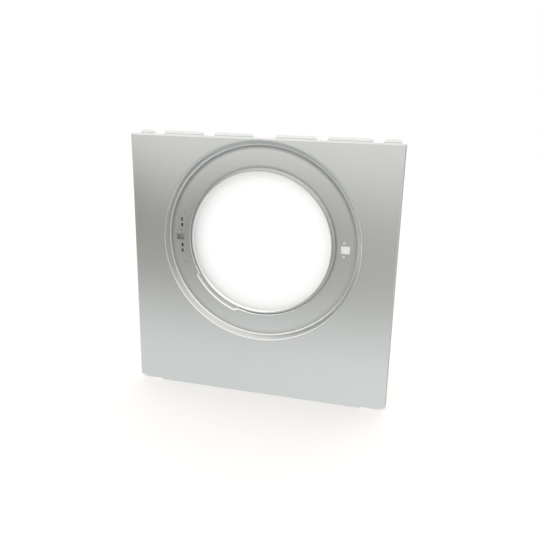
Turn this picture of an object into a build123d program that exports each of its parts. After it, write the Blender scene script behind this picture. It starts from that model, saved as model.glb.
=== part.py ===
"""Front panel of a front loading washing machine, with the bracket that stiffens it behind the door hinge.

The panel is one drawn and folded steel sheet. Its face looks along -Y, +Z is up, and the origin lies
under the middle of the panel, at the level of its bottom edge. Depths are measured back from the face.
"""

import os
from math import asin, degrees, radians, tan

from build123d import *

# Sheet and folds
sheet = 0.8
panel_width = 595.0
panel_depth = 30.0
bend_radius = 3.0
return_width = 14.0
return_leg = 6.0
return_bend_radius = 1.6
return_end_gap = 16.0

# Door recess, drawn round the middle of the opening, and wider than the rim of the opening all round
ring_height = 359.5
rim_radius = 169.0
recess_width = 55.4
recess_depth = 13.0
recess_wall_angle = 55.0
recess_lip_radius = 2.0
top_margin = 0.2

# Soft foot of the recess wall: slope and run of each flat, from the wall in
foot_flats = [(32.0, 2.2), (5.0, 6.5)]

# Gasket seat: a groove pressed back inside the rim, and a collar turned forward out of it
groove_width = 10.0
groove_depth = 4.6
rim_slope = 28.0
rim_run = 2.6
groove_wall_run = 1.0
collar_front_depth = 4.8

# Pocket that widens the groove for the spring of the gasket clamp
pocket_width = 3.6
pocket_depth = 4.0
pocket_rim_run = 3.4
pocket_start_angle = 210.0
pocket_end_angle = 248.5
pocket_slant_angle = 5.0
pocket_corner_radius = 1.6

# Hinge side of the recess floor, each opening measured out from the rim
hinge_slot_out = 16.8
hinge_slot_width = 5.0
hinge_slot_length = 8.6
hinge_slot_pitch = 13.0
hinge_pair_spacing = 59.6
hinge_pairs_rise = 4.5
hinge_window_out = 21.4
hinge_window_width = 18.0
hinge_window_height = 13.0
hinge_window_corner = 1.0
hinge_pilot_out = 18.8
hinge_pilot_rise = 16.3
hinge_pilot_diameter = 3.0
locating_hole_out = 10.0
locating_hole_spacing = 116.6
locating_hole_diameter = 4.6

# Latch side of the recess floor, measured in the same way
latch_hole_out = 15.0
latch_hole_diameter = 5.0
latch_hole_spacing = 30.2
latch_window_out = 18.0
latch_window_width = 19.5
latch_window_height = 16.0
latch_window_corner = 1.0

# Tabs along the back of the top flange: distance of the middle from the side, and length
tab_places = [(28.5, 36.0), (114.5, 94.0), (229.0, 89.0)]
tab_height = 6.0
tab_foot = 1.0
tab_bend_radius = 1.2
tab_corner_chamfer = 3.5
tab_strip_end_gap = 9.0

# Bottom corners, where the flange stops and the edge rises, measured in from the side
flange_end_in = 57.5
corner_foot_in = 25.5
corner_foot_rise = 3.6
corner_foot_radius = 8.0
corner_rise = 9.5
corner_radius = 6.0

# Screw holes in the flanges, measured in from the side
flange_hole_diameter = 5.0
bottom_hole_in = 107.5
top_hole_in = 173.0

# Hinge bracket, a hat section spot welded behind the recess floor
bracket_sheet = 1.2
bracket_out = 5.0
bracket_flange_width = 24.0
bracket_flange_length = 18.0
bracket_web_overhang = 9.0
bracket_web_length = 78.0
bracket_standoff = 9.5
bracket_wall_run = 5.0
bracket_bend_radius = 2.0
bracket_corner_radius = 4.0

# Cutters run this far past the sheet that they open
cut_clearance = 1.0

# Sizes that follow from the ones above
recess_radius = rim_radius + recess_width
panel_height = ring_height + recess_radius + top_margin + bend_radius
return_length = panel_height - 2 * return_end_gap
side_x = panel_width / 2
face_y = -panel_depth / 2
back_y = panel_depth / 2
flange_middle_y = (face_y + bend_radius + back_y) / 2
ring_radius = recess_radius + top_margin / 2
groove_floor_depth = recess_depth + groove_depth
collar_radius = rim_radius - groove_width
groove_middle_radius = (rim_radius + collar_radius) / 2
pocket_radius = rim_radius + pocket_width
pocket_floor_depth = recess_depth + pocket_depth
tab_strip = tab_foot + tab_bend_radius + sheet
through_sheet = sheet + 2 * cut_clearance
bracket_right_x = -rim_radius - bracket_out
bracket_web_width = bracket_flange_width + bracket_web_overhang

# The opening runs along Y, through the middle of the recess
opening_axis = Axis((0, 0, ring_height), (0, 1, 0))
recess_section = Plane(origin=(0, face_y, ring_height))


def front_plane(depth):
    """Plane that faces forward, centred on the opening, at a depth behind the face."""
    return Plane(origin=(0, face_y + depth, ring_height), x_dir=(1, 0, 0), z_dir=(0, -1, 0))


def recess_path():
    """Front side of the sheet from the face to the collar's edge, as radius and depth."""
    wall_angle = radians(recess_wall_angle)
    foot_rise = sum(run * tan(radians(slope)) for slope, run in foot_flats)
    lip_corner = recess_radius - recess_lip_radius * tan(wall_angle / 2)
    depth = recess_depth - foot_rise
    radius = lip_corner - depth / tan(wall_angle)
    wall = FilletPolyline(
        (ring_radius, 0),
        (lip_corner, 0),
        (radius, depth),
        radius=recess_lip_radius,
    )
    foot = []
    for slope, run in foot_flats:
        radius -= run
        depth += run * tan(radians(slope))
        foot.append((radius, depth))
    seat = Polyline(
        wall @ 1,
        *foot,
        (rim_radius, recess_depth),
        (rim_radius - rim_run, recess_depth + rim_run * tan(radians(rim_slope))),
        (rim_radius - rim_run - groove_wall_run, groove_floor_depth),
        (collar_radius, groove_floor_depth),
        (collar_radius, collar_front_depth),
    )
    return wall @ 0, seat @ 1


def pocket_outline(grow, depth):
    """Outline of the pocket at a depth, with its outer wall and its ends moved out by grow."""
    turn = degrees(asin(grow / pocket_radius))
    start = pocket_start_angle - turn
    sweep = pocket_end_angle + turn - start
    with BuildSketch(front_plane(depth)) as outline:
        with BuildLine():
            outer = CenterArc((0, 0), pocket_radius + grow, start, sweep)
            inner = CenterArc((0, 0), groove_middle_radius, start, sweep + pocket_slant_angle)
            Line(outer @ 0, inner @ 0)
            Line(outer @ 1, inner @ 1)
        make_face()
        fillet(outline.vertices().sort_by_distance((0, 0, 0))[-2:], pocket_corner_radius + grow)
    return outline.sketch


def pocket_block(grow, rim_grow, front_depth, back_depth):
    """Solid of the pocket between two depths, widened along the front by the slope of its rim."""
    centre = front_plane(front_depth).origin
    rim_depth = front_depth + rim_grow * tan(radians(rim_slope))
    with BuildPart() as block:
        extrude(pocket_outline(grow, front_depth), amount=front_depth - back_depth)
        foot_edges = block.faces().sort_by(Axis.Y)[-1].edges().sort_by_distance(centre)[1:]
        fillet(foot_edges, pocket_corner_radius + grow)
        loft([pocket_outline(grow + rim_grow, front_depth), pocket_outline(grow, rim_depth)], ruled=True)
    return block.part


rim_clearance = cut_clearance / tan(radians(rim_slope))
rim_mitre = sheet * tan(radians(rim_slope / 2))
pocket_outside = pocket_block(
    sheet,
    pocket_rim_run + rim_mitre - sheet,
    recess_depth + sheet,
    pocket_floor_depth + sheet,
)
pocket_inside = pocket_block(
    0,
    pocket_rim_run + rim_clearance,
    recess_depth - cut_clearance,
    pocket_floor_depth,
)

# Front panel
with BuildPart() as front_panel:
    # Tray with its flanges turned back all round
    Box(panel_width, panel_depth, panel_height, align=(Align.CENTER, Align.CENTER, Align.MIN))
    corner_edges = front_panel.edges().filter_by(Axis.Y)
    face_edges = front_panel.faces().sort_by(Axis.Y)[0].edges()
    fillet(corner_edges + face_edges, bend_radius)
    offset(amount=-sheet, openings=front_panel.faces().sort_by(Axis.Y)[-1])

    # Returns, folded in from the side flanges
    for side, inward in ((-1, Side.RIGHT), (1, Side.LEFT)):
        with Locations((side * side_x, back_y, panel_height / 2)):
            Box(2 * through_sheet, 2 * return_leg, return_length, mode=Mode.SUBTRACT)
        with BuildSketch(Plane.XY.offset(return_end_gap)):
            with BuildLine():
                FilletPolyline(
                    (side * side_x, back_y - return_leg),
                    (side * side_x, back_y),
                    (side * (side_x - return_width), back_y),
                    radius=return_bend_radius,
                )
                offset(amount=sheet, side=inward)
            make_face()
        extrude(amount=return_length)

    # Door recess with the gasket groove and the collar
    with BuildSketch(front_plane(-cut_clearance)):
        Circle(ring_radius)
    extrude(amount=-through_sheet, mode=Mode.SUBTRACT)
    add(pocket_outside)
    with BuildSketch(recess_section):
        with BuildLine():
            face_end, collar_end = recess_path()
            Polyline(
                face_end,
                (ring_radius, -cut_clearance),
                (collar_radius, -cut_clearance),
                collar_end,
            )
        make_face()
    revolve(axis=opening_axis, mode=Mode.SUBTRACT)
    with BuildSketch(recess_section):
        with BuildLine():
            recess_path()
            offset(amount=sheet, side=Side.RIGHT, kind=Kind.INTERSECTION)
        make_face()
    revolve(axis=opening_axis)
    add(pocket_inside, mode=Mode.SUBTRACT)

    # Hinge and latch openings in the recess floor
    with BuildSketch(front_plane(recess_depth - cut_clearance)):
        with Locations((-rim_radius - hinge_window_out, 0)):
            RectangleRounded(hinge_window_width, hinge_window_height, hinge_window_corner)
        with Locations((-rim_radius - hinge_slot_out, hinge_pairs_rise)):
            with GridLocations(1, hinge_pair_spacing, 1, 2):
                with GridLocations(1, hinge_slot_pitch, 1, 2):
                    SlotOverall(hinge_slot_length, hinge_slot_width, rotation=90)
        with Locations((-rim_radius - hinge_pilot_out, hinge_pilot_rise)):
            Circle(hinge_pilot_diameter / 2)
        with Locations((-rim_radius - locating_hole_out, 0)):
            with GridLocations(1, locating_hole_spacing, 1, 2):
                Circle(locating_hole_diameter / 2)
        with Locations((rim_radius + latch_window_out, 0)):
            RectangleRounded(latch_window_width, latch_window_height, latch_window_corner)
        with Locations((rim_radius + latch_hole_out, 0)):
            with GridLocations(1, latch_hole_spacing, 1, 2):
                Circle(latch_hole_diameter / 2)
    extrude(amount=-through_sheet, mode=Mode.SUBTRACT)

    # Tabs bent up from the back of the top flange, which is cut back between them
    with Locations((0, back_y, panel_height)):
        Box(2 * (side_x - tab_strip_end_gap), 2 * tab_strip, 2 * through_sheet, mode=Mode.SUBTRACT)
    for side in (-1, 1):
        for tab_in, tab_length in tab_places:
            with BuildSketch(Plane.YZ.offset(side * (side_x - tab_in))):
                with BuildLine():
                    FilletPolyline(
                        (back_y - tab_strip, panel_height),
                        (back_y - sheet, panel_height),
                        (back_y - sheet, panel_height + tab_height),
                        radius=tab_bend_radius,
                    )
                    offset(amount=sheet, side=Side.RIGHT)
                make_face()
            extrude(amount=tab_length / 2, both=True)
    tab_corners = front_panel.edges().filter_by(Axis.Y).group_by(Axis.Z)[-1]
    chamfer(tab_corners, tab_corner_chamfer)

    # Bottom corners
    for side in (-1, 1):
        with BuildSketch(Plane.XZ.offset(-face_y + cut_clearance)):
            with BuildLine():
                edge = FilletPolyline(
                    (side * (side_x - flange_end_in), corner_foot_rise),
                    (side * (side_x - corner_foot_in), corner_foot_rise),
                    (side * side_x, corner_rise),
                    (side * side_x, corner_rise + 2 * corner_radius),
                    radius=[corner_foot_radius, corner_radius],
                )
                Polyline(
                    edge @ 1,
                    (side * (side_x + cut_clearance), corner_rise + 2 * corner_radius),
                    (side * (side_x + cut_clearance), -cut_clearance),
                    (side * (side_x - flange_end_in), -cut_clearance),
                    edge @ 0,
                )
            make_face()
        extrude(amount=-panel_depth - 2 * cut_clearance, mode=Mode.SUBTRACT)

    # Screw holes in the bottom and top flanges
    with Locations((0, flange_middle_y, 0)):
        with GridLocations(panel_width - 2 * bottom_hole_in, 1, 2, 1):
            Cylinder(flange_hole_diameter / 2, 2 * through_sheet, mode=Mode.SUBTRACT)
    with Locations((0, flange_middle_y, panel_height)):
        with GridLocations(panel_width - 2 * top_hole_in, 1, 2, 1):
            Cylinder(flange_hole_diameter / 2, 2 * through_sheet, mode=Mode.SUBTRACT)

# Hinge bracket
with BuildPart() as hinge_bracket:
    # Hat section, with its flanges behind the locating holes
    flange_end = (locating_hole_spacing + bracket_flange_length) / 2
    wall_foot = (locating_hole_spacing - bracket_flange_length) / 2
    wall_head = wall_foot - bracket_wall_run
    floor_back_y = face_y + recess_depth + sheet
    web_y = floor_back_y + bracket_standoff
    with BuildSketch(Plane.YZ.offset(bracket_right_x)):
        with BuildLine():
            FilletPolyline(
                (floor_back_y, ring_height + flange_end),
                (floor_back_y, ring_height + wall_foot),
                (web_y, ring_height + wall_head),
                (web_y, ring_height - wall_head),
                (floor_back_y, ring_height - wall_foot),
                (floor_back_y, ring_height - flange_end),
                radius=bracket_bend_radius,
            )
            offset(amount=bracket_sheet, side=Side.LEFT)
        make_face()
    extrude(amount=-bracket_web_width)

    # Outline of its blank: the web is wider than the flanges, which keep clear of the recess wall
    with BuildSketch(front_plane(recess_depth)) as blank:
        with Locations((bracket_right_x, 0)):
            Rectangle(bracket_flange_width, 2 * flange_end, align=(Align.MAX, Align.CENTER))
            Rectangle(bracket_web_width, bracket_web_length, align=(Align.MAX, Align.CENTER))
        fillet(blank.vertices(), bracket_corner_radius)
    extrude(amount=-panel_depth, mode=Mode.INTERSECT)

front_panel.part.label = "front_panel"
hinge_bracket.part.label = "hinge_bracket"

os.makedirs("parts", exist_ok=True)
export_step(front_panel.part, "parts/front_panel.step")
export_step(hinge_bracket.part, "parts/hinge_bracket.step")
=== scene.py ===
import math

import bmesh
import bpy
from mathutils import Matrix, Vector


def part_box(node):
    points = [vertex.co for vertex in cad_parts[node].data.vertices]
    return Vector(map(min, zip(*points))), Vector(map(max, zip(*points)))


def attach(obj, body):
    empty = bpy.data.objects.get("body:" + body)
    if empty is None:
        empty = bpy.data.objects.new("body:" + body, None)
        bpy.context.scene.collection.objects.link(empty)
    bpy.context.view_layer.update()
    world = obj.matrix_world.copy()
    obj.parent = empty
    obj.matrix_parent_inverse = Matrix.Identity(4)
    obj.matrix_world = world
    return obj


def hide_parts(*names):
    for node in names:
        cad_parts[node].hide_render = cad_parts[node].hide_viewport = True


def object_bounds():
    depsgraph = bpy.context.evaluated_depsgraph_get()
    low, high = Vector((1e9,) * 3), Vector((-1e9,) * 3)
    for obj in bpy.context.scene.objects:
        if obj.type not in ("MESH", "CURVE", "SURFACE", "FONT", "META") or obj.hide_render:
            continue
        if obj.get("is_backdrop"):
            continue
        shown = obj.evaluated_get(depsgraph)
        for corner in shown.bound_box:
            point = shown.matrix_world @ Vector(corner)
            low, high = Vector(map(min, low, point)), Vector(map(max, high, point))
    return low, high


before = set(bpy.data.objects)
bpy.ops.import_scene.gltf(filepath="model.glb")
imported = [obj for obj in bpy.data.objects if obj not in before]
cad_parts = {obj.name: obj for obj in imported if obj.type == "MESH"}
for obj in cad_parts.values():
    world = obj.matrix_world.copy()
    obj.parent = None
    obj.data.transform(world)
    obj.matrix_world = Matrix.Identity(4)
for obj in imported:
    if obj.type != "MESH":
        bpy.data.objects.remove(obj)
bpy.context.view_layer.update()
scene = bpy.context.scene

# Front panel
# One sheet of painted steel, drawn and folded in a press: the face with its flanges and tabs, the door
# recess, and the gasket seat round the opening. The press leaves every bend rounded.
SHEET = 0.0008
OPENING_HEIGHT = 0.3595
FACE_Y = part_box("front_panel")[0].y
SAME_POINT = 2e-6
RADIUS_SLACK, DEPTH_SLACK = 2e-4, 6e-5
FLAT_ANGLE = math.radians(0.4)
BEND_ANGLE = math.radians(3)
SHARP_ANGLE = math.radians(21)
BEND_STEPS = 4


def round_place(point):
    """Radius from the opening's axis, depth behind the face, and angle round the opening in degrees."""
    rise = point.z - OPENING_HEIGHT
    angle = math.degrees(math.atan2(rise, point.x)) % 360
    return math.hypot(point.x, rise), point.y - FACE_Y, angle


def round_point(radius, depth, angle):
    """Point at a radius and angle round the opening, at a depth behind the face."""
    around = math.radians(angle)
    return radius * math.cos(around), FACE_Y + depth, OPENING_HEIGHT + radius * math.sin(around)


def on_circle(point, circle):
    """Whether a point lies on a circle round the opening, given as radius and depth."""
    radius, depth, angle = round_place(point)
    return abs(radius - circle[0]) < RADIUS_SLACK and abs(depth - circle[1]) < DEPTH_SLACK


def within(point, angles):
    """Whether a point lies between two angles round the opening."""
    return angles[0] < round_place(point)[2] < angles[1]


def round_bend(steel, circle, rounding, skip=None):
    """Rounds the bend along a circle round the opening, but not between the two angles of skip."""
    bend = []
    for edge in steel.edges:
        ends = [vert.co for vert in edge.verts]
        if not all(on_circle(end, circle) for end in ends):
            continue
        if skip and any(within(end, skip) for end in ends):
            continue
        if edge.is_manifold and edge.calc_face_angle() > BEND_ANGLE:
            bend.append(edge)
    bmesh.ops.bevel(
        steel,
        geom=bend,
        offset=rounding,
        offset_type="OFFSET",
        segments=BEND_STEPS,
        profile=0.5,
        affect="EDGES",
        clamp_overlap=False,
        loop_slide=True,
    )


cad_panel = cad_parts["front_panel"]
panel_mesh = bpy.data.meshes.new("panel_sheet")
steel = bmesh.new()
steel.from_mesh(cad_panel.data)
bmesh.ops.remove_doubles(steel, verts=steel.verts, dist=SAME_POINT)

# The lip of the recess is drawn back to a corner on both sides of the sheet, to be rounded in finer steps
RECESS_RADIUS, LIP_BEND, WALL_TURN = 0.2244, 0.0020, math.radians(55)
LIP_SIDES = (LIP_BEND, LIP_BEND - SHEET)
DRAWN_SLACK, ROUNDED_SLACK = 3e-5, 8e-5


def lip_tangent(side_bend):
    """Distance from the lip's corner to the start of its bend, on one side of the sheet."""
    return side_bend * math.tan(WALL_TURN / 2)


def lip_turn(radius, depth, side_bend, slack):
    """How far the sheet has turned at a point of the lip, or None beside the lip."""
    across, behind = RECESS_RADIUS - radius, LIP_BEND - depth
    on_lip = abs(math.hypot(across, behind) - side_bend) < slack
    return math.atan2(across, behind) if on_lip else None


lip_corners = [(RECESS_RADIUS - lip_tangent(side_bend), LIP_BEND - side_bend) for side_bend in LIP_SIDES]
for side_bend, corner in zip(LIP_SIDES, lip_corners):
    for vert in steel.verts:
        radius, depth, angle = round_place(vert.co)
        if lip_turn(radius, depth, side_bend, DRAWN_SLACK) is not None:
            vert.co = round_point(*corner, angle)
bmesh.ops.remove_doubles(steel, verts=steel.verts, dist=SAME_POINT)
bmesh.ops.dissolve_limit(steel, angle_limit=FLAT_ANGLE, verts=steel.verts, edges=steel.edges)
for side_bend, corner in zip(LIP_SIDES, lip_corners):
    round_bend(steel, corner, lip_tangent(side_bend))

# Front of the sheet from the lip to the collar's edge, as radius and depth of each bend
RECESS_DEPTH = 0.0130
FOOT_FLATS = ((32, 0.0022), (5, 0.0065))
RIM_RADIUS, RIM_SLOPE, RIM_RUN = 0.1690, 28, 0.0026
GROOVE_DEPTH, GROOVE_WALL_RUN = 0.0046, 0.0010
COLLAR_RADIUS, COLLAR_FRONT = 0.1590, 0.0048


def fall(slope, run):
    """How far a flat of the sheet goes back over a run, at a slope in degrees."""
    return run * math.tan(math.radians(slope))


foot_depth = RECESS_DEPTH - sum(fall(slope, run) for slope, run in FOOT_FLATS)
seat = [lip_corners[0], (lip_corners[0][0] - foot_depth / math.tan(WALL_TURN), foot_depth)]
for slope, run in FOOT_FLATS:
    seat.append((seat[-1][0] - run, seat[-1][1] + fall(slope, run)))
seat += [
    (RIM_RADIUS, RECESS_DEPTH),
    (RIM_RADIUS - RIM_RUN, RECESS_DEPTH + fall(RIM_SLOPE, RIM_RUN)),
    (RIM_RADIUS - RIM_RUN - GROOVE_WALL_RUN, RECESS_DEPTH + GROOVE_DEPTH),
    (COLLAR_RADIUS, RECESS_DEPTH + GROOVE_DEPTH),
    (COLLAR_RADIUS, COLLAR_FRONT),
]

# Rounding of each bend on the front and the back of the sheet. The rim and the groove leave the pocket out.
POCKET_ANGLES = (203, 259)
FOOT_ROUNDING = ((0.0012, 0.0011, None), (0.0012, 0.0011, None), (0.0032, None, None))
RIM_ROUNDING = (
    (0.0011, 0.0009, POCKET_ANGLES),
    (0.0011, 0.0008, POCKET_ANGLES),
    (0.0009, 0.0014, POCKET_ANGLES),
)
COLLAR_ROUNDING = ((0.0012, 0.0020, None),)


def behind_bend(before, bend, after):
    """Circle on the back of the sheet, behind a bend on its front."""
    flats = (Vector(bend) - Vector(before), Vector(after) - Vector(bend))
    first, second = [Vector((flat.y, -flat.x)).normalized() for flat in flats]
    return Vector(bend) + (first + second) * SHEET / (1 + first.dot(second))


for number, (front, back, skip) in enumerate(FOOT_ROUNDING + RIM_ROUNDING + COLLAR_ROUNDING, 1):
    round_bend(steel, seat[number], front, skip)
    if back:
        round_bend(steel, behind_bend(*seat[number - 1:number + 2]), back, skip)

# Away from the top the lip is softer and flatter. At the top the flange's bend starts close beside it.
SOFT_LIP, FLAT_SHARE = 0.0022, 0.35
TOP_ANGLE, TOP_SHARP, TOP_BLEND = 90, 8, 32
for vert in steel.verts:
    radius, depth, angle = round_place(vert.co)
    from_top = min(max((abs(angle - TOP_ANGLE) - TOP_SHARP) / TOP_BLEND, 0), 1)
    for side_bend in LIP_SIDES:
        turned = lip_turn(radius, depth, side_bend, ROUNDED_SLACK)
        if turned is None:
            continue
        soft_bend = side_bend + SOFT_LIP * from_top * from_top * (3 - 2 * from_top)
        tangent = lip_tangent(soft_bend)
        start = Vector((RECESS_RADIUS - lip_tangent(side_bend) + tangent, LIP_BEND - side_bend))
        stop = start + tangent * Vector((-1 - math.cos(WALL_TURN), math.sin(WALL_TURN)))
        arc = start + soft_bend * Vector((-math.sin(turned), 1 - math.cos(turned)))
        chord = start.lerp(stop, min(max(turned / WALL_TURN, 0), 1))
        vert.co = round_point(*arc.lerp(chord, FLAT_SHARE), angle)

# The tabs lean back a little
TAB_HEIGHT, TAB_LEAN = 0.006, math.tan(math.radians(10))
TAB_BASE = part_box("front_panel")[1].z - TAB_HEIGHT
for vert in steel.verts:
    vert.co.y += max(vert.co.z - TAB_BASE, 0) * TAB_LEAN

for face in steel.faces:
    face.smooth = True
for edge in steel.edges:
    edge.smooth = edge.is_manifold and edge.calc_face_angle() < SHARP_ANGLE
steel.to_mesh(panel_mesh)
steel.free()
stored_normals = panel_mesh.attributes.get("custom_normal")
if stored_normals:
    panel_mesh.attributes.remove(stored_normals)

panel = bpy.data.objects.new("panel_sheet", panel_mesh)
scene.collection.objects.link(panel)
shading = panel.modifiers.new("flat_faces", "WEIGHTED_NORMAL")
shading.keep_sharp = True
shading.weight = 80


def streak_group():
    """Rolling streaks of sheet steel that show through a thin finish: long, upright and fine across."""
    group = bpy.data.node_groups.new("rolling_streaks", "ShaderNodeTree")
    group.interface.new_socket("Across", in_out="INPUT", socket_type="NodeSocketFloat")
    group.interface.new_socket("Along", in_out="INPUT", socket_type="NodeSocketFloat")
    group.interface.new_socket("Streak", in_out="OUTPUT", socket_type="NodeSocketFloat")
    nodes, links = group.nodes, group.links
    entry = nodes.new("NodeGroupInput")
    leave = nodes.new("NodeGroupOutput")
    place = nodes.new("ShaderNodeTexCoord")
    scale = nodes.new("ShaderNodeCombineXYZ")
    spread = nodes.new("ShaderNodeVectorMath")
    spread.operation = "MULTIPLY"
    noise = nodes.new("ShaderNodeTexNoise")
    noise.inputs["Scale"].default_value = 1.0
    noise.inputs["Detail"].default_value = 3.0
    noise.inputs["Roughness"].default_value = 0.6
    links.new(entry.outputs["Across"], scale.inputs["X"])
    links.new(entry.outputs["Across"], scale.inputs["Y"])
    links.new(entry.outputs["Along"], scale.inputs["Z"])
    links.new(place.outputs["Object"], spread.inputs[0])
    links.new(scale.outputs["Vector"], spread.inputs[1])
    links.new(spread.outputs["Vector"], noise.inputs["Vector"])
    links.new(noise.outputs["Fac"], leave.inputs["Streak"])
    return group


rolling_streaks = streak_group()


def put_streaks(tree, across, along):
    """Places the streak group in a material, with its own fineness."""
    node = tree.nodes.new("ShaderNodeGroup")
    node.node_tree = rolling_streaks
    node.inputs["Across"].default_value = across
    node.inputs["Along"].default_value = along
    return node.outputs["Streak"]


def noise_mask(tree, scale, detail):
    """Noise over the surface, as a mask."""
    place = tree.nodes.new("ShaderNodeTexCoord")
    node = tree.nodes.new("ShaderNodeTexNoise")
    node.inputs["Scale"].default_value = scale
    node.inputs["Detail"].default_value = detail
    tree.links.new(place.outputs["Object"], node.inputs["Vector"])
    return node.outputs["Fac"]


NOISE_SPAN = (0.25, 0.75)


def value_range(tree, source, low, high, span=NOISE_SPAN):
    """Spreads a mask over a range of values."""
    node = tree.nodes.new("ShaderNodeMapRange")
    node.inputs["From Min"].default_value, node.inputs["From Max"].default_value = span
    node.inputs["To Min"].default_value = low
    node.inputs["To Max"].default_value = high
    tree.links.new(source, node.inputs["Value"])
    return node.outputs["Result"]


def colour_range(tree, source, dark, light):
    """Mixes two colours by a mask."""
    node = tree.nodes.new("ShaderNodeMix")
    node.data_type = "RGBA"
    node.inputs["A"].default_value = (*dark, 1)
    node.inputs["B"].default_value = (*light, 1)
    tree.links.new(source, node.inputs["Factor"])
    return node.outputs["Result"]


def combine(tree, operation, first, *others):
    """Values put together one after the other, by the same operation."""
    for other in others:
        node = tree.nodes.new("ShaderNodeMath")
        node.operation = operation
        tree.links.new(first, node.inputs[0])
        tree.links.new(other, node.inputs[1])
        first = node.outputs["Value"]
    return first


# Silver paint: aluminium flakes in a satin lacquer, sprayed over rolled sheet
SILVER_DARK, SILVER_LIGHT = (0.580, 0.604, 0.597), (0.612, 0.637, 0.630)
paint = bpy.data.materials.new("silver_paint")
paint.use_nodes = True
tree = paint.node_tree
lacquer = tree.nodes["Principled BSDF"]
lacquer.inputs["Metallic"].default_value = 0.92
lacquer.inputs["Coat Weight"].default_value = 0.06
lacquer.inputs["Coat Roughness"].default_value = 0.28
streaks = put_streaks(tree, across=700.0, along=5.0)
flakes = noise_mask(tree, scale=2600.0, detail=1.0)
cloud = noise_mask(tree, scale=9.0, detail=2.0)
tone = combine(
    tree,
    "ADD",
    value_range(tree, streaks, low=0.0, high=0.7),
    value_range(tree, flakes, low=0.0, high=0.3),
)
tree.links.new(colour_range(tree, tone, SILVER_DARK, SILVER_LIGHT), lacquer.inputs["Base Color"])
gloss = combine(
    tree,
    "ADD",
    value_range(tree, cloud, low=0.20, high=0.22),
    value_range(tree, streaks, low=0.0, high=0.03),
)
tree.links.new(gloss, lacquer.inputs["Roughness"])
peel = tree.nodes.new("ShaderNodeBump")
peel.inputs["Strength"].default_value = 0.05
peel.inputs["Distance"].default_value = 0.0002
tree.links.new(tone, peel.inputs["Height"])
tree.links.new(peel.outputs["Normal"], lacquer.inputs["Normal"])
panel_mesh.materials.clear()
panel_mesh.materials.append(paint)

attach(panel, "root")
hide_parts("front_panel")

# Hinge bracket
# A hat section of galvanised steel, spot welded behind the hinge holes to carry the door's weight.
# The zinc has grown in flat crystals, each with its own dull shine.
ZINC_DARK, ZINC_LIGHT = (0.31, 0.30, 0.27), (0.47, 0.46, 0.42)
CRYSTALS = 210.0
WHOLE_MASK = (0.0, 1.0)
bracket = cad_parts["hinge_bracket"]
zinc = bpy.data.materials.new("galvanised_steel")
zinc.use_nodes = True
tree = zinc.node_tree
metal = tree.nodes["Principled BSDF"]
metal.inputs["Metallic"].default_value = 1.0
place = tree.nodes.new("ShaderNodeTexCoord")
spangle = tree.nodes.new("ShaderNodeTexVoronoi")
spangle.inputs["Scale"].default_value = CRYSTALS
tree.links.new(place.outputs["Object"], spangle.inputs["Vector"])
crystal = tree.nodes.new("ShaderNodeSeparateColor")
tree.links.new(spangle.outputs["Color"], crystal.inputs["Color"])
streaks = put_streaks(tree, across=900.0, along=30.0)
tree.links.new(
    colour_range(tree, crystal.outputs["Red"], ZINC_DARK, ZINC_LIGHT),
    metal.inputs["Base Color"],
)
shine = combine(
    tree,
    "ADD",
    value_range(tree, crystal.outputs["Green"], low=0.36, high=0.5, span=WHOLE_MASK),
    value_range(tree, streaks, low=0.0, high=0.06),
)
tree.links.new(shine, metal.inputs["Roughness"])
bracket.data.materials.clear()
bracket.data.materials.append(zinc)

# Floor
# A plain white sweep of matt paper that the panel stands on.
# It isn't mirrored in the silver paint, which shows the room beyond it instead.
FLOOR_HALF, FLOOR_WHITE = 6.0, (0.93, 0.93, 0.93)


def matt(name, colour):
    """Matt paper of one colour, which gives no mirror image."""
    material = bpy.data.materials.new(name)
    material.use_nodes = True
    paper = material.node_tree.nodes["Principled BSDF"]
    paper.inputs["Base Color"].default_value = (*colour, 1)
    paper.inputs["Roughness"].default_value = 0.9
    paper.inputs["Specular IOR Level"].default_value = 0.0
    return material


def studio_sheet(name, points, faces, material):
    """Thin sheet that stands in the studio."""
    mesh = bpy.data.meshes.new(name)
    mesh.from_pydata(points, [], faces)
    mesh.materials.append(material)
    sheet = bpy.data.objects.new(name, mesh)
    scene.collection.objects.link(sheet)
    return sheet


floor = studio_sheet(
    "floor",
    [(x * FLOOR_HALF, y * FLOOR_HALF, 0) for x, y in ((-1, -1), (1, -1), (1, 1), (-1, 1))],
    [(0, 1, 2, 3)],
    matt("white_floor", FLOOR_WHITE),
)
floor.visible_glossy = False
floor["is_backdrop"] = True

# Backdrop
# The sweep rises to a plain white wall all round the panel, which glows evenly.
# Only the camera sees it, so that it takes no light away.
WALL_RADIUS, WALL_HEIGHT, WALL_SIDES = 5.5, 7.0, 64
wall_points = []
for step in range(WALL_SIDES):
    around = 2 * math.pi * step / WALL_SIDES
    for height in (0, WALL_HEIGHT):
        wall_points.append((WALL_RADIUS * math.cos(around), WALL_RADIUS * math.sin(around), height))
wall_faces = []
for step in range(WALL_SIDES):
    low, next_low = 2 * step, 2 * ((step + 1) % WALL_SIDES)
    wall_faces.append((low, low + 1, next_low + 1, next_low))
bright = matt("white_wall", (0, 0, 0))
wall_glow = bright.node_tree.nodes["Principled BSDF"]
wall_glow.inputs["Emission Color"].default_value = (1, 1, 1, 1)
wall_glow.inputs["Emission Strength"].default_value = 1.0
wall = studio_sheet("backdrop", wall_points, wall_faces, bright)
wall.visible_diffuse = False
wall.visible_glossy = False
wall.visible_transmission = False
wall.visible_shadow = False
wall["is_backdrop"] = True

# Backing card
# A white card inside the panel, close behind the opening, so that the light falls off inside the opening.
# It glows a little, most behind the latch holes. Its back is clear, so that it doesn't hide the panel.
CARD_HALF, CARD_LOW, CARD_HIGH, CARD_Y = 0.215, 0.135, 0.575, 0.0125
CARD_WHITE = (0.87, 0.88, 0.89)
CARD_SPREAD, CARD_GLOW = (0.172, 0.180), (0.05, 0.16)
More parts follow.
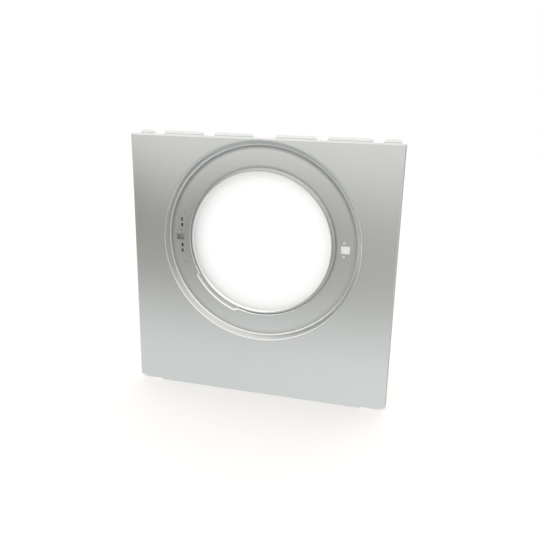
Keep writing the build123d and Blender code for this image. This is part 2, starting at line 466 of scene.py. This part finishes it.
RISING, FALLING = (0.0, 1.0), (1.0, 0.0)


def soft_step(tree, source, span, values=RISING):
    """Value that goes softly between two values while the source goes over a span."""
    node = tree.nodes.new("ShaderNodeMapRange")
    node.interpolation_type = "SMOOTHSTEP"
    node.inputs["From Min"].default_value, node.inputs["From Max"].default_value = span
    node.inputs["To Min"].default_value, node.inputs["To Max"].default_value = values
    tree.links.new(source, node.inputs["Value"])
    return node.outputs["Result"]


white_card = matt("white_card", CARD_WHITE)
tree = white_card.node_tree
paper = tree.nodes["Principled BSDF"]
paper.inputs["Emission Color"].default_value = (1, 1, 1, 1)
place = tree.nodes.new("ShaderNodeTexCoord")
from_axis = tree.nodes.new("ShaderNodeVectorMath")
from_axis.operation = "DISTANCE"
from_axis.inputs[1].default_value = (0, CARD_Y, OPENING_HEIGHT)
tree.links.new(place.outputs["Object"], from_axis.inputs[0])
tree.links.new(
    soft_step(tree, from_axis.outputs["Value"], CARD_SPREAD, CARD_GLOW),
    paper.inputs["Emission Strength"],
)
side = tree.nodes.new("ShaderNodeNewGeometry")
clear = tree.nodes.new("ShaderNodeBsdfTransparent")
one_sided = tree.nodes.new("ShaderNodeMixShader")
tree.links.new(side.outputs["Backfacing"], one_sided.inputs["Fac"])
tree.links.new(paper.outputs["BSDF"], one_sided.inputs[1])
tree.links.new(clear.outputs["BSDF"], one_sided.inputs[2])
tree.links.new(one_sided.outputs["Shader"], tree.nodes["Material Output"].inputs["Surface"])
card = studio_sheet(
    "backing_card",
    [
        (-CARD_HALF, CARD_Y, CARD_LOW),
        (CARD_HALF, CARD_Y, CARD_LOW),
        (CARD_HALF, CARD_Y, CARD_HIGH),
        (-CARD_HALF, CARD_Y, CARD_HIGH),
    ],
    [(0, 1, 2, 3)],
    white_card,
)
card.visible_glossy = False
card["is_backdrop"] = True

# Light
# Soft light from all round, brightest in a band above the horizon, white below and a little warm above.
# It is weaker from the far right. Spans are parts of a direction from -1 to 1: X to the right, Z up.
HORIZON_LIGHT, BAND_LIGHT, TOP_LIGHT = 1.07, 1.65, 1.17
BAND_RISE, TOP_FALL = (0.05, 0.40), (0.50, 0.82)
LOW_LEFT_X, LOW_LEFT_Z, LOW_LEFT_LIGHT = (-0.50, 0.10), (-0.45, -0.20), 0.90
FAR_LEFT_X, FAR_LEFT_Z, FAR_LEFT_LIGHT = (-0.85, -0.45), (-0.30, 0.0), (0.22, -0.24)
RIGHT_X, RIGHT_LIGHT = (0.45, 0.95), 0.45
WHITE_LIGHT, WARM_LIGHT, WARM_RISE = (1, 1, 1), (1.03, 1.0, 0.975), (-0.25, -0.05)
world = bpy.data.worlds.new("studio")
world.use_nodes = True
scene.world = world
tree = world.node_tree
sky = tree.nodes["Background"]
place = tree.nodes.new("ShaderNodeTexCoord")
split = tree.nodes.new("ShaderNodeSeparateXYZ")
tree.links.new(place.outputs["Generated"], split.inputs["Vector"])
to_right, up = split.outputs["X"], split.outputs["Z"]
by_height = combine(
    tree,
    "ADD",
    soft_step(tree, up, BAND_RISE, (HORIZON_LIGHT, BAND_LIGHT)),
    soft_step(tree, up, TOP_FALL, (0.0, TOP_LIGHT - BAND_LIGHT)),
)
low_left = combine(
    tree,
    "MULTIPLY",
    soft_step(tree, to_right, LOW_LEFT_X, FALLING),
    soft_step(tree, up, LOW_LEFT_Z, FALLING),
)
far_left = combine(
    tree,
    "MULTIPLY",
    soft_step(tree, to_right, FAR_LEFT_X, FALLING),
    soft_step(tree, up, FAR_LEFT_Z, FAR_LEFT_LIGHT),
)
from_left = combine(tree, "ADD", soft_step(tree, low_left, WHOLE_MASK, (1.0, LOW_LEFT_LIGHT)), far_left)
from_right = soft_step(tree, to_right, RIGHT_X, (1.0, RIGHT_LIGHT))
tree.links.new(combine(tree, "MULTIPLY", by_height, from_left, from_right), sky.inputs["Strength"])
tree.links.new(
    colour_range(tree, soft_step(tree, up, WARM_RISE), WHITE_LIGHT, WARM_LIGHT),
    sky.inputs["Color"],
)

# Dim room
# The room beyond the white sweep, which the picture doesn't show but the silver paint mirrors.
# A bent card stands in for it, darker on the left, seen in reflections only.
ROOM_LEFT, ROOM_RIGHT, ROOM_NEAR, ROOM_FAR, ROOM_LOW, ROOM_HIGH = -3.4, 2.2, -0.06, -1.6, 0.002, 0.75
ROOM_COLOUR = (1.03, 1.0, 0.92, 1)
DARK_END, DARK_END_GLOW = (-1.25, -0.95), (0.12, 0.47)
LIGHT_END, LIGHT_END_GLOW = (-0.95, 0.50), (0.0, 0.10)
GAP_LEFT, GAP_RIGHT, GAP_NEAR, GAP_HIGH = (-0.95, -0.60), (-0.35, -0.05), (-1.40, -1.20), (0.18, 0.32)
FADE_NEAR, FADE_HIGH, FADE_LEFT, FADE_RIGHT = (-1.00, -0.10), (0.0, 0.46), (-0.80, -0.44), (0.35, 0.80)
LEFT_RAISED, LEFT_SLANT = 0.14, -0.52
dim = bpy.data.materials.new("dim_room")
dim.use_nodes = True
tree = dim.node_tree
tree.nodes.remove(tree.nodes["Principled BSDF"])
place = tree.nodes.new("ShaderNodeTexCoord")
split = tree.nodes.new("ShaderNodeSeparateXYZ")
tree.links.new(place.outputs["Object"], split.inputs["Vector"])
to_right, away, up = split.outputs["X"], split.outputs["Y"], split.outputs["Z"]
glow = tree.nodes.new("ShaderNodeEmission")
glow.inputs["Color"].default_value = ROOM_COLOUR

# It is lightest on the right and darkest at a gap left of the middle, low down at its far side
shade = combine(
    tree,
    "ADD",
    soft_step(tree, to_right, DARK_END, DARK_END_GLOW),
    soft_step(tree, to_right, LIGHT_END, LIGHT_END_GLOW),
)
gap = combine(
    tree,
    "MULTIPLY",
    soft_step(tree, to_right, GAP_LEFT),
    soft_step(tree, to_right, GAP_RIGHT, FALLING),
    soft_step(tree, away, GAP_NEAR, FALLING),
    soft_step(tree, up, GAP_HIGH, FALLING),
)
lit = soft_step(tree, gap, WHOLE_MASK, FALLING)
tree.links.new(combine(tree, "MULTIPLY", shade, lit), glow.inputs["Strength"])

# It fades out towards the panel, at its top and at its ends, and stands a little higher on the left
raised = soft_step(tree, to_right, DARK_END, (LEFT_RAISED, 0.0))
slanted = tree.nodes.new("ShaderNodeMath")
slanted.operation = "MULTIPLY_ADD"
tree.links.new(away, slanted.inputs[0])
slanted.inputs[1].default_value = LEFT_SLANT
tree.links.new(to_right, slanted.inputs[2])
faded = combine(
    tree,
    "MULTIPLY",
    soft_step(tree, away, FADE_NEAR, FALLING),
    soft_step(tree, combine(tree, "SUBTRACT", up, raised), FADE_HIGH, FALLING),
    soft_step(tree, slanted.outputs["Value"], FADE_LEFT),
    soft_step(tree, to_right, FADE_RIGHT, FALLING),
)
clear = tree.nodes.new("ShaderNodeBsdfTransparent")
cover = tree.nodes.new("ShaderNodeMixShader")
tree.links.new(combine(tree, "MAXIMUM", faded, gap), cover.inputs["Fac"])
tree.links.new(clear.outputs["BSDF"], cover.inputs[1])
tree.links.new(glow.outputs["Emission"], cover.inputs[2])
tree.links.new(cover.outputs["Shader"], tree.nodes["Material Output"].inputs["Surface"])
room = studio_sheet(
    "dim_room",
    [
        (x, y, z)
        for y, z in ((ROOM_NEAR, ROOM_LOW), (ROOM_FAR, ROOM_LOW), (ROOM_FAR, ROOM_HIGH))
        for x in (ROOM_LEFT, ROOM_RIGHT)
    ],
    [(0, 1, 3, 2), (2, 3, 5, 4)],
    dim,
)
room.visible_camera = False
room.visible_diffuse = False
room.visible_transmission = False
room.visible_shadow = False
room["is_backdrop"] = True

# Camera
# The viewing angle of the picture: from the right, a little above the panel.
# It is turned to the left, tilted down and rolled slightly.
CAMERA_PLACE = Vector((0.35235, -1.25177, 0.68272))
CAMERA_TURN, CAMERA_TILT, CAMERA_ROLL = math.radians(14.80), math.radians(-16.49), math.radians(-1.17)
FROM_DOWN_TO_LEVEL = math.radians(90)
camera_data = bpy.data.cameras.new("camera")
camera_data.sensor_width = 36.0
camera_data.lens = 40.456
camera = bpy.data.objects.new("camera", camera_data)
scene.collection.objects.link(camera)
camera.matrix_world = (
    Matrix.Translation(CAMERA_PLACE)
    @ Matrix.Rotation(CAMERA_TURN, 4, "Z")
    @ Matrix.Rotation(CAMERA_TILT, 4, "X")
    @ Matrix.Rotation(CAMERA_ROLL, 4, "Y")
    @ Matrix.Rotation(FROM_DOWN_TO_LEVEL, 4, "X")
)
scene.camera = camera
scene.view_settings.view_transform = "Standard"

# Sizes
# The box of the dressed model, without the floor, backdrop, card and room.
low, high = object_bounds()
